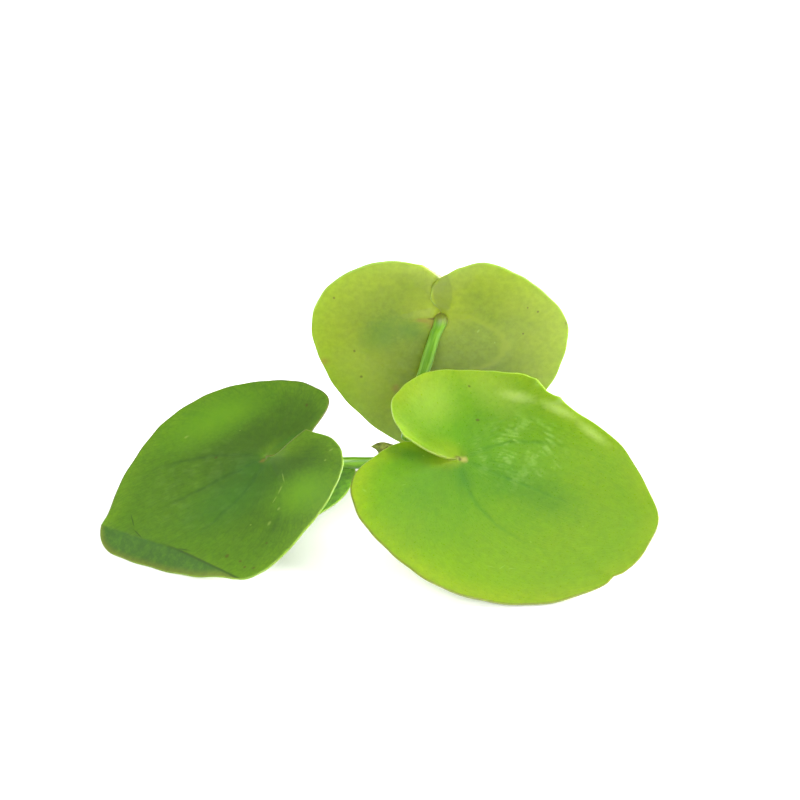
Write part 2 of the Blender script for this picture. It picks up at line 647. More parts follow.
def stalk_piece(name):
    """A stalk whose radius swells slowly along it, and flares by a bell curve where it meets
    the blade. At both ends it closes like a quarter circle."""
    stalk = STALKS[name]
    blade = BLADES[stalk["blade"]]
    small = stalk["blade"] == "blade_small"
    foot = SMALL_STALK_RADIUS if small else STALK_RADIUS
    knee = stalk["knee"]
    top, up = np.array(blade["stalk_top"]), axes_of(blade)[2]
    end = top - up * blade["thickness"][0] * STALK_END
    knots = list(stalk["way"]) + [top - up * knee, top - up * knee * KNEE_MIDDLE, end]
    path = stalk_line(knots, SPAN_STEPS) + PLANT_AT
    along = np.concatenate([[0.0], np.cumsum(np.linalg.norm(np.diff(path, axis=0), axis=1))])
    from_end = along[-1] - along
    swell = 1 + STALK_SWELL * np.sin(along * 0.8 + 1.0)
    flare = 1 + FLARE * np.exp(-((from_end - 0.7) / FLARE_LENGTH) ** 2)
    cap = np.clip(np.minimum(along, from_end) / CAP_LENGTH, 0, 1)
    radius = foot * swell * (flare if not small else 1.0) * np.sqrt(1 - (1 - cap) ** 2)
    return tube(name, path, radius)


stalks = {name: stalk_piece(name) for name in STALKS}
print({name: len(piece.data.polygons) for name, piece in stalks.items()})

# %% [markdown]
# ## Rootstock and scale
#
# The stalks grow from a short stub, ringed by the scars of older leaves, with its roots cut
# off flat. A scale that once wrapped a young leaf stands withered beside it, arched and hooked
# at its end. The stub is a profile turned round an axis. The scale is a small bent sheet, and
# gets its two skins by Solidify, which is enough for a piece 0.35 mm thick.

# %% Rootstock
ROOTSTOCK_AT = (5.4, 19.0)
ROOTSTOCK_PROFILE = (
    (0.0, 6.0), (0.8, 5.86), (1.6, 5.4), (2.3, 4.5), (2.62, 3.4), (2.7, 2.1), (2.55, 1.0),
    (2.3, 0.0),
)
ROOT_RINGS = 60
ROOT_SIDES = 64
SCAR_DEPTH = 0.06


def rootstock_piece():
    """A profile turned round an upright axis. Its radius gets ring scars, a sine of the
    height, and slight lobes, a sine of the angle. Below it closes with a flat disc."""
    s = np.linspace(0, 1, ROOT_RINGS)
    known = np.linspace(0, 1, len(ROOTSTOCK_PROFILE))
    radius = through_points(list(zip(known, [p[0] for p in ROOTSTOCK_PROFILE])), s)
    height = through_points(list(zip(known, [p[1] for p in ROOTSTOCK_PROFILE])), s)
    turn = np.linspace(0, 2 * math.pi, ROOT_SIDES, endpoint=False)
    amount = SCAR_DEPTH * np.sin(math.pi * s) ** 0.5
    scars = amount[:, None] * (np.sin(7 * height)[:, None] + 0.8 * np.sin(5 * turn + 2 * height[:, None]))
    wide = np.maximum(radius[:, None] + scars, 0.0)
    wide[0] = 0.0
    points = np.stack([
        ROOTSTOCK_AT[0] + wide * np.cos(turn), ROOTSTOCK_AT[1] + wide * np.sin(turn),
        np.broadcast_to(np.maximum(height, 0.0)[:, None], wide.shape),
    ], axis=-1) + PLANT_AT
    rows, cols = wide.shape
    number = np.arange(rows * cols).reshape(rows, cols)
    index = np.hstack([number, number[:, :1]])
    a, b, c, d = index[1:-1, :-1], index[1:-1, 1:], index[2:, 1:], index[2:, :-1]
    quads = np.stack([a, b, c, d], axis=-1).reshape(-1, 4)
    dome = np.stack([np.full(cols, 1), index[1, 1:], index[1, :-1]], axis=-1)
    middle = np.append(np.array(ROOTSTOCK_AT), 0.0) + PLANT_AT
    base = np.stack([np.full(cols, 0), index[-1, :-1], index[-1, 1:]], axis=-1)
    dome[:, 0], base[:, 0] = 0, 1
    quads, dome[:, 1:], base[:, 1:] = quads - cols + 2, dome[:, 1:] - cols + 2, base[:, 1:] - cols + 2
    points = np.vstack([points[0, 0], middle, points[1:].reshape(-1, 3)]) * MM
    mesh = faces_to_mesh("rootstock_skin", points, [quads, dome, base])
    piece = bpy.data.objects.new("rootstock_skin", mesh)
    bpy.context.scene.collection.objects.link(piece)
    return piece


rootstock = rootstock_piece()
print("rootstock faces", len(rootstock.data.polygons))

# %% Withered scale
SCALE_ROOT = (2.4, 19.2, 3.8)
SCALE_LENGTH, SCALE_HEIGHT, SCALE_CROWN, SCALE_HOOK = 2.4, 1.8, 0.6, 1.3
SCALE_HOOK_POWER, SCALE_CROWN_POWER = 4, 1.2
SCALE_BULGE, SCALE_LEAN, SCALE_THICKNESS = 0.5, 1.0, 0.35
SCALE_RIBS = 0.05


def scale_piece():
    """A sheet of two numbers, along and high. Its length grows by the hook times high to the
    fourth, its top edge follows a sine arch, it bulges by a sine of high, and thin ribs run
    along it."""
    along, high = np.meshgrid(np.linspace(0, 1, 41), np.linspace(0, 1, 25), indexing="ij")
    length = SCALE_LENGTH + SCALE_HOOK * high ** SCALE_HOOK_POWER
    arch = SCALE_CROWN * np.sin(math.pi * along ** SCALE_CROWN_POWER)
    bulge = SCALE_BULGE * np.sin(math.pi * high) + SCALE_RIBS * np.sin(26 * high + 3 * along)
    sheet = np.stack(
        [-length * along, -bulge - SCALE_LEAN * along, (SCALE_HEIGHT + arch) * high], axis=-1
    ) + np.array(SCALE_ROOT) + PLANT_AT
    rows, cols = along.shape
    index = np.arange(rows * cols).reshape(rows, cols)
    a, b, c, d = index[:-1, :-1], index[:-1, 1:], index[1:, 1:], index[1:, :-1]
    quads = np.stack([a, b, c, d], axis=-1).reshape(-1, 4)
    mesh = bpy.data.meshes.new("scale_skin")
    mesh.from_pydata((sheet.reshape(-1, 3) * MM).tolist(), [], quads.tolist())
    mesh.shade_smooth()
    put_attribute(mesh, "high", "FLOAT", high)
    piece = bpy.data.objects.new("scale_skin", mesh)
    bpy.context.scene.collection.objects.link(piece)
    shell = piece.modifiers.new("thickness", "SOLIDIFY")
    shell.thickness = SCALE_THICKNESS * MM
    shell.offset = 0.0
    return piece


scale = scale_piece()
print("scale faces", len(scale.data.polygons))

# %% [markdown]
# ## Shader groups
#
# All blades share the same effects, so each effect is a node group with its own inputs: the
# vein angle, lines along the veins, a net of tiny cells, and scattered specks. A picture could
# be wrapped round the blades instead, but a pattern in millimetres stays sharp at any
# distance, and follows the blade because it reads the blade's own flat x and y.


# %% Small helpers for nodes
def put(tree, kind, inputs=None, **settings):
    """A new node with its settings. An input gets a value, or a link if it is a socket."""
    node = tree.nodes.new(kind)
    for key, value in settings.items():
        setattr(node, key, value)
    for key, value in (inputs or {}).items():
        if isinstance(value, bpy.types.NodeSocket):
            tree.links.new(value, node.inputs[key])
        else:
            node.inputs[key].default_value = value
    return node


def calc(tree, operation, a, b=0.0, c=0.0):
    """One step of arithmetic."""
    return put(tree, "ShaderNodeMath", {0: a, 1: b, 2: c}, operation=operation).outputs[0]


def fade_between(tree, value, low, high, to_low=0.0, to_high=1.0):
    """A smooth step from to_low at low to to_high at high."""
    inputs = {"Value": value, "From Min": low, "From Max": high, "To Min": to_low, "To Max": to_high}
    return put(
        tree, "ShaderNodeMapRange", inputs, interpolation_type="SMOOTHSTEP"
    ).outputs["Result"]


def blend(tree, share, first, second, how="MIX"):
    """Mixes two colours."""
    node = put(tree, "ShaderNodeMix", {0: share, 6: first, 7: second}, data_type="RGBA", blend_type=how)
    return node.outputs[2]


def new_group(name, ins, outs):
    """An empty node group with named sockets, and its input and output nodes."""
    tree = bpy.data.node_groups.new(name, "ShaderNodeTree")
    for label, kind in ins:
        tree.interface.new_socket(label, in_out="INPUT", socket_type=kind)
    for label, kind in outs:
        tree.interface.new_socket(label, in_out="OUTPUT", socket_type=kind)
    return tree, tree.nodes.new("NodeGroupInput").outputs, tree.nodes.new("NodeGroupOutput").inputs


def use(tree, group, inputs):
    """Places a group with its values."""
    node = put(tree, "ShaderNodeGroup", node_tree=group)
    for key, value in inputs.items():
        if isinstance(value, bpy.types.NodeSocket):
            tree.links.new(value, node.inputs[key])
        else:
            node.inputs[key].default_value = value
    return node.outputs


# %% Vein angle as a group
FLOAT, VECTOR = "NodeSocketFloat", "NodeSocketVector"
arc_group, ins, outs = new_group(
    "vein_angle", [("Leaf mm", VECTOR), ("Turn", FLOAT), ("Tip mm", FLOAT)],
    [("Angle", FLOAT), ("Out mm", FLOAT), ("Vein space", VECTOR)],
)
turned = put(arc_group, "ShaderNodeVectorRotate", {"Vector": ins["Leaf mm"], "Angle": calc(
    arc_group, "MULTIPLY", ins["Turn"], -1.0)}, rotation_type="Z_AXIS").outputs[0]
turned_xyz = put(arc_group, "ShaderNodeSeparateXYZ", {0: turned}).outputs
out_mm = put(arc_group, "ShaderNodeVectorMath", {0: ins["Leaf mm"]}, operation="LENGTH").outputs["Value"]
far_y = calc(arc_group, "MULTIPLY", ins["Tip mm"], turned_xyz[1])
far_x = calc(arc_group, "MULTIPLY", ins["Tip mm"], turned_xyz[0])
less = calc(arc_group, "SUBTRACT", far_x, calc(arc_group, "MULTIPLY", out_mm, out_mm))
leave = calc(arc_group, "ARCTAN2", far_y, less)
space = put(arc_group, "ShaderNodeCombineXYZ", {0: leave, 1: out_mm}).outputs[0]
arc_group.links.new(leave, outs["Angle"])
arc_group.links.new(out_mm, outs["Out mm"])
arc_group.links.new(space, outs["Vein space"])

# %% Lines along the veins as a group
line_group, ins, outs = new_group(
    "vein_lines",
    [("Angle", FLOAT), ("Out mm", FLOAT), ("Leaf mm", VECTOR), ("Spacing", FLOAT), ("Width mm", FLOAT),
     ("Wander", FLOAT)],
    [("Mask", FLOAT)],
)
wander = put(line_group, "ShaderNodeTexNoise", {"Vector": ins["Leaf mm"], "Scale": 0.22, "Detail": 2.0})
shift = calc(line_group, "MULTIPLY", calc(line_group, "SUBTRACT", wander.outputs["Fac"], 0.5), ins["Wander"])
bent = calc(line_group, "ADD", ins["Angle"], shift)
left_over = calc(line_group, "PINGPONG", bent, calc(line_group, "MULTIPLY", ins["Spacing"], 0.5))
way = calc(line_group, "MULTIPLY", left_over, ins["Out mm"])
near = calc(line_group, "DIVIDE", way, ins["Width mm"])
bell = calc(line_group, "EXPONENT", calc(line_group, "MULTIPLY", calc(line_group, "MULTIPLY", near, near), -1.0))
line_group.links.new(bell, outs["Mask"])

# %% Fine streaks between the veins as a group
streak_group, ins, outs = new_group(
    "fine_streaks", [("Vein space", VECTOR), ("Across", FLOAT), ("Along", FLOAT), ("Sharp", FLOAT)],
    [("Mask", FLOAT)],
)
parts = put(streak_group, "ShaderNodeSeparateXYZ", {0: ins["Vein space"]}).outputs
stretched = put(streak_group, "ShaderNodeCombineXYZ", {
    0: calc(streak_group, "MULTIPLY", parts[0], ins["Across"]),
    1: calc(streak_group, "MULTIPLY", parts[1], ins["Along"]),
}).outputs[0]
grainy = put(streak_group, "ShaderNodeTexNoise", {"Vector": stretched, "Scale": 1.0, "Detail": 3.0, "Roughness": 0.6})
half_sharp = calc(streak_group, "MULTIPLY", ins["Sharp"], 0.5)
streaks = put(streak_group, "ShaderNodeMapRange", {
    "Value": grainy.outputs["Fac"], "From Min": calc(streak_group, "SUBTRACT", 0.55, half_sharp),
    "From Max": calc(streak_group, "ADD", 0.55, half_sharp)}, interpolation_type="SMOOTHSTEP")
streak_group.links.new(streaks.outputs["Result"], outs["Mask"])

# %% Net of small cells as a group
net_group, ins, outs = new_group(
    "cell_net", [("Vein space", VECTOR), ("Across", FLOAT), ("Along", FLOAT), ("Width", FLOAT)],
    [("Lines", FLOAT), ("Cushion", FLOAT)],
)
parts = put(net_group, "ShaderNodeSeparateXYZ", {0: ins["Vein space"]}).outputs
stretched = put(net_group, "ShaderNodeCombineXYZ", {
    0: calc(net_group, "MULTIPLY", parts[0], ins["Across"]),
    1: calc(net_group, "MULTIPLY", parts[1], ins["Along"]),
}).outputs[0]
cells = put(net_group, "ShaderNodeTexVoronoi", {"Vector": stretched, "Scale": 1.0, "Randomness": 0.8},
            feature="DISTANCE_TO_EDGE").outputs["Distance"]
lines = put(net_group, "ShaderNodeMapRange", {
    "Value": cells, "From Max": ins["Width"], "To Min": 1.0, "To Max": 0.0}, interpolation_type="SMOOTHSTEP")
cushion = put(net_group, "ShaderNodeMapRange", {
    "Value": cells, "From Max": calc(net_group, "MULTIPLY", ins["Width"], 3.0)}, interpolation_type="SMOOTHSTEP")
net_group.links.new(lines.outputs["Result"], outs["Lines"])
net_group.links.new(cushion.outputs["Result"], outs["Cushion"])

# %% Scattered specks as a group
speck_group, ins, outs = new_group(
    "specks", [("Leaf mm", VECTOR), ("Per mm", FLOAT), ("Size", FLOAT), ("Share", FLOAT)],
    [("Mask", FLOAT)],
)
scattered = put(speck_group, "ShaderNodeTexVoronoi", {"Vector": ins["Leaf mm"], "Scale": ins["Per mm"]}, feature="F1")
pick = put(speck_group, "ShaderNodeSeparateColor", {0: scattered.outputs["Color"]}).outputs
own_size = calc(speck_group, "MULTIPLY", ins["Size"], calc(speck_group, "ADD", pick[1], 0.4))
inside = put(speck_group, "ShaderNodeMapRange", {
    "Value": calc(speck_group, "DIVIDE", scattered.outputs["Distance"], own_size),
    "From Min": 0.6, "From Max": 1.0, "To Min": 1.0, "To Max": 0.0}, interpolation_type="SMOOTHSTEP")
chosen = calc(speck_group, "LESS_THAN", pick[0], ins["Share"])
speck_group.links.new(calc(speck_group, "MULTIPLY", inside.outputs["Result"], chosen), outs["Mask"])

# %% One soft mark at a place on the blade as a group
mark_group, ins, outs = new_group(
    "soft_mark", [("Leaf mm", VECTOR), ("At mm", VECTOR), ("Half length", FLOAT), ("Half width", FLOAT),
                  ("Turn", FLOAT), ("Ragged", FLOAT), ("Soft", FLOAT)],
    [("Mask", FLOAT)],
)
from_mark = put(mark_group, "ShaderNodeVectorMath", {0: ins["Leaf mm"], 1: ins["At mm"]}, operation="SUBTRACT")
mark_turn = put(mark_group, "ShaderNodeVectorRotate", {
    "Vector": from_mark.outputs[0], "Angle": calc(mark_group, "MULTIPLY", ins["Turn"], -1.0)},
    rotation_type="Z_AXIS").outputs[0]
parts = put(mark_group, "ShaderNodeSeparateXYZ", {0: mark_turn}).outputs
one = calc(mark_group, "DIVIDE", parts[0], ins["Half length"])
two = calc(mark_group, "DIVIDE", parts[1], ins["Half width"])
oval = calc(mark_group, "SQRT", calc(mark_group, "ADD", calc(mark_group, "MULTIPLY", one, one),
                                     calc(mark_group, "MULTIPLY", two, two)))
rag = put(mark_group, "ShaderNodeTexNoise", {"Vector": ins["Leaf mm"], "Scale": 1.6, "Detail": 3.0})
ragged = calc(mark_group, "MULTIPLY_ADD", calc(mark_group, "SUBTRACT", rag.outputs["Fac"], 0.5), ins["Ragged"], oval)
spot = put(mark_group, "ShaderNodeMapRange", {
    "Value": ragged, "From Min": calc(mark_group, "SUBTRACT", 1.0, ins["Soft"]), "From Max": 1.0,
    "To Min": 1.0, "To Max": 0.0},
    interpolation_type="SMOOTHSTEP")
mark_group.links.new(spot.outputs["Result"], outs["Mask"])

# %% A soft oval line as a group
ring_group, ins, outs = new_group(
    "oval_line", [("Leaf mm", VECTOR), ("At mm", VECTOR), ("Half length", FLOAT), ("Half width", FLOAT)],
    [("Mask", FLOAT)],
)
from_middle = put(ring_group, "ShaderNodeVectorMath", {0: ins["Leaf mm"], 1: ins["At mm"]}, operation="SUBTRACT")
parts = put(ring_group, "ShaderNodeSeparateXYZ", {0: from_middle.outputs[0]}).outputs
one = calc(ring_group, "DIVIDE", parts[0], ins["Half length"])
two = calc(ring_group, "DIVIDE", parts[1], ins["Half width"])
oval = calc(ring_group, "SQRT", calc(ring_group, "ADD", calc(ring_group, "MULTIPLY", one, one),
                                     calc(ring_group, "MULTIPLY", two, two)))
uneven = put(ring_group, "ShaderNodeTexNoise", {"Vector": ins["Leaf mm"], "Scale": 0.5, "Detail": 2.0})
oval = calc(ring_group, "MULTIPLY_ADD", calc(ring_group, "SUBTRACT", uneven.outputs["Fac"], 0.5), 0.25, oval)
off = calc(ring_group, "ABSOLUTE", calc(ring_group, "SUBTRACT", oval, 0.92))
line = put(ring_group, "ShaderNodeMapRange", {
    "Value": off, "From Min": 0.02, "From Max": 0.14, "To Min": 1.0, "To Max": 0.0},
    interpolation_type="SMOOTHSTEP")
ring_group.links.new(line.outputs["Result"], outs["Mask"])
print("groups:", [g.name for g in bpy.data.node_groups])

# %% [markdown]
# ## The blades' finish
#
# A living blade is green in several ways at once. It is darker and bluer round the stalk and
# yellower to the rim, the veins show as lines, light comes through it, and its skin is
# glossy where it is wet. One function mixes these, and each blade brings its own greens,
# flecks and scars. Light is let through by the shader's own subsurface setting, which works
# because the blades are solids with a true thickness.

# %% Marks that the blades carry: x, y, half length, half width, turn, in millimetres and degrees
# Each ink has its colour, strength, raggedness and softness.
INKS = {
    "deep": ((0.030, 0.120, 0.012, 1), 0.40, 0.5, 0.95),
    "light": ((0.300, 0.390, 0.060, 1), 0.30, 0.4, 0.95),
    "fresh": ((0.105, 0.240, 0.007, 1), 0.75, 0.4, 0.95),
    "sheen": ((0.400, 0.480, 0.150, 1), 0.38, 0.4, 0.95),
    "overlap": ((0.080, 0.110, 0.018, 1), 0.40, 0.05, 0.2),
    "cream": ((0.480, 0.420, 0.120, 1), 0.62, 0.5, 0.85),
    "rust": ((0.220, 0.110, 0.030, 1), 0.45, 0.9, 0.9),
    "brown": ((0.060, 0.038, 0.010, 1), 0.68, 0.5, 0.7),
    "pale": ((0.260, 0.380, 0.080, 1), 0.36, 0.8, 0.8),
    "crack": ((0.015, 0.035, 0.008, 1), 0.7, 0.4, 0.6),
}
MARKS = {
    "blade_right": {
        "deep": (
            (13.0, 1.5, 13.0, 6.0, 8), (2.5, -2.5, 5.0, 2.5, -50), (-6.0, -3.4, 5.5, 1.6, 25),
        ),
        "light": (
            (-9.5, 5.5, 6.5, 9.0, 0), (-3.0, 13.5, 9.0, 5.0, 0),
        ),
        "sheen": ((1.0, 14.8, 4.5, 1.6, 18), (8.0, 16.3, 5.0, 1.3, 5), (14.5, 15.8, 5.0, 1.2, -8)),
        "cream": ((0.7, 0.3, 1.0, 0.85, 0),),
        "brown": (
            (-6.4, 12.0, 0.35, 0.25, 0), (-1.8, 7.7, 0.45, 0.3, 30), (-0.2, 0.0, 0.8, 0.6, 0),
        ),
        "pale": (
            (15.6, -13.9, 0.9, 0.12, 20), (17.0, -13.0, 0.8, 0.12, 75), (18.3, -12.4, 1.1, 0.12, 40),
            (-4.1, -9.1, 0.5, 0.12, 60), (-8.1, -14.0, 0.6, 0.25, 0), (-1.6, 2.3, 0.2, 0.15, 0),
            (5.0, 7.9, 0.35, 0.2, 0), (12.8, 6.9, 0.2, 0.15, 0), (17.9, -6.5, 0.25, 0.15, 0),
            (-4.9, -2.7, 0.3, 0.2, 0), (0.5, -19.4, 0.25, 0.15, 0), (22.9, 0.4, 0.2, 0.15, 0),
        ),
    },
    "blade_left": {
        "deep": (
            (8.0, 4.5, 13.0, 8.0, 10), (3.0, 1.0, 6.0, 5.0, 0), (-4.5, -1.4, 4.5, 0.9, 10),
        ),
        "fresh": ((3.0, -12.5, 15.0, 6.5, 0), (-2.0, 11.0, 8.0, 7.0, 0)),
        "rust": ((0.7, 0.3, 0.9, 0.6, 20),),
        "brown": (
            (13.4, 15.7, 0.6, 0.4, 40), (12.1, 17.9, 0.35, 0.3, 0), (7.2, 16.9, 0.3, 0.25, 0),
            (6.8, -4.8, 0.45, 0.25, 0), (10.9, 20.4, 0.35, 0.25, 0), (12.0, 19.4, 0.35, 0.3, 0),
            (-10.2, -6.5, 0.5, 0.3, 60), (-0.2, 0.0, 0.35, 0.3, 0),
        ),
        "pale": (
            (-0.5, 5.9, 1.5, 0.16, 75), (1.0, 8.0, 1.2, 0.2, 45), (2.6, 9.4, 0.9, 0.14, 40),
            (2.8, 11.5, 0.5, 0.3, 30), (5.2, 13.4, 0.7, 0.35, 40), (-9.1, 6.1, 0.5, 0.25, 0),
            (-7.4, 7.4, 0.3, 0.25, 0), (1.2, -7.9, 0.2, 0.15, 0), (9.1, -11.9, 0.6, 0.35, 0),
            (7.8, 11.9, 0.25, 0.2, 0),
        ),
        "crack": (
            (23.2, -0.3, 1.8, 0.12, 80), (23.5, 2.9, 1.6, 0.14, 100), (18.6, 10.5, 1.3, 0.16, 135),
        ),
    },
    "blade_back": {
        "deep": ((3.0, 9.5, 7.0, 4.5, 40), (2.0, 5.0, 4.0, 5.0, 0)),
        "light": ((15.0, 13.0, 14.0, 10.0, 0), (24.0, 2.0, 8.0, 14.0, 0)),
        "overlap": ((-5.4, -0.35, 4.2, 1.7, 0),),
        "cream": ((-1.0, 0.2, 0.5, 0.4, 0),),
        "rust": ((0.0, 2.6, 0.7, 2.6, 0), (0.5, 1.0, 1.5, 1.8, 0), (9.6, 19.6, 2.0, 1.2, 60), (15.1, 7.5, 1.5, 1.0, 0)),
        "brown": (
            (-3.7, 17.1, 0.35, 0.3, 0), (6.9, 14.1, 0.4, 0.3, 0), (12.5, 13.1, 0.4, 0.35, 0),
            (-0.8, -15.7, 0.35, 0.3, 0), (-1.8, -14.0, 0.25, 0.2, 0), (3.6, -13.4, 0.3, 0.25, 0),
            (2.0, -20.5, 0.9, 0.5, 10), (-0.4, 1.2, 0.3, 1.2, 0),
        ),
        "pale": ((2.4, -6.1, 0.5, 0.2, 30), (5.0, -8.8, 0.25, 0.15, 0)),
    },
    "blade_small": {"pale": ((5.0, 6.0, 0.5, 0.2, 0),)},
}


def marks(tree, leaf, places, ragged, soft):
    """The strongest of several soft marks."""
    total = 0.0
    for x, y, long, wide, turn in places:
        mask = use(tree, mark_group, {
            "Leaf mm": leaf, "At mm": (x, y, 0.0), "Half length": long, "Half width": wide,
            "Turn": math.radians(turn), "Ragged": ragged, "Soft": soft,
        })["Mask"]
        total = calc(tree, "MAXIMUM", total, mask)
    return total


# %% Greens of each blade, as seen in plain light
GREENS = {
    "blade_right": {
        "middle": (0.082, 0.205, 0.006, 1), "outer": (0.130, 0.235, 0.006, 1),
        "rim": (0.175, 0.250, 0.007, 1), "vein": (0.050, 0.150, 0.008, 1),
        "edge_left": (0.190, 0.270, 0.025, 1), "edge_right": (0.120, 0.125, 0.022, 1),
        "below": (0.170, 0.270, 0.020, 1), "below_rim": (0.210, 0.300, 0.025, 1),
        "veins": 0.5, "streaks": 0.12, "net": 0.15, "mottle": 0.12, "gloss": 0.30, "wet": 0.12,
        "mirror": 0.32, "dark_out": (3.0, 24.0), "net_height": 0.25, "ring": 0.0, "ripples": 0.24, "edge_turn": 45.0,
    },
    "blade_left": {
        "middle": (0.042, 0.094, 0.006, 1), "outer": (0.066, 0.145, 0.006, 1),
        "rim": (0.095, 0.185, 0.007, 1), "vein": (0.020, 0.060, 0.008, 1),
        "edge_left": (0.130, 0.190, 0.030, 1), "edge_right": (0.080, 0.060, 0.020, 1),
        "below": (0.120, 0.220, 0.020, 1), "below_rim": (0.160, 0.250, 0.025, 1),
        "veins": 0.5, "streaks": 0.2, "net": 0.2, "mottle": 0.13, "gloss": 0.42, "wet": 0.0,
        "mirror": 0.2, "dark_out": (2.0, 20.0), "net_height": 0.15, "ring": 0.0, "ripples": 0.05, "edge_turn": 0.0,
    },
    "blade_back": {
        "middle": (0.060, 0.160, 0.012, 1), "outer": (0.075, 0.190, 0.012, 1),
        "rim": (0.110, 0.240, 0.015, 1), "vein": (0.050, 0.140, 0.012, 1),
        "edge_left": (0.160, 0.240, 0.030, 1), "edge_right": (0.160, 0.240, 0.030, 1),
        "below": (0.125, 0.180, 0.010, 1), "below_rim": (0.190, 0.245, 0.014, 1),
        "veins": 0.2, "streaks": 0.15, "net": 0.2, "mottle": 0.18, "gloss": 0.45, "wet": 0.1,
        "mirror": 0.3, "dark_out": (3.0, 24.0), "net_height": 0.15, "ring": 0.5, "ripples": 0.05, "edge_turn": 0.0,
    },
    "blade_small": {
        "middle": (0.085, 0.240, 0.008, 1), "outer": (0.140, 0.320, 0.010, 1),
        "rim": (0.180, 0.380, 0.015, 1), "vein": (0.050, 0.150, 0.010, 1),
        "edge_left": (0.200, 0.320, 0.040, 1), "edge_right": (0.200, 0.320, 0.040, 1),
        "below": (0.120, 0.220, 0.030, 1), "below_rim": (0.160, 0.250, 0.025, 1),
        "veins": 0.4, "streaks": 0.3, "net": 0.2, "mottle": 0.4, "gloss": 0.5, "wet": 0.0,
        "mirror": 0.15, "dark_out": (2.0, 16.0), "net_height": 0.15, "ring": 0.0, "ripples": 0.0, "edge_turn": 0.0,
    },
}
LIGHT_THROUGH = 1.0
LIGHT_DEPTH_MM = (0.8, 1.0, 0.2)
LIGHT_DEPTH_SCALE = 1.2


PALE_RIPPLE = (0.330, 0.500, 0.130, 1)
FOLDED_GREEN = (0.034, 0.092, 0.008, 1)
FOLDED_MARGIN = (0.130, 0.140, 0.015, 1)


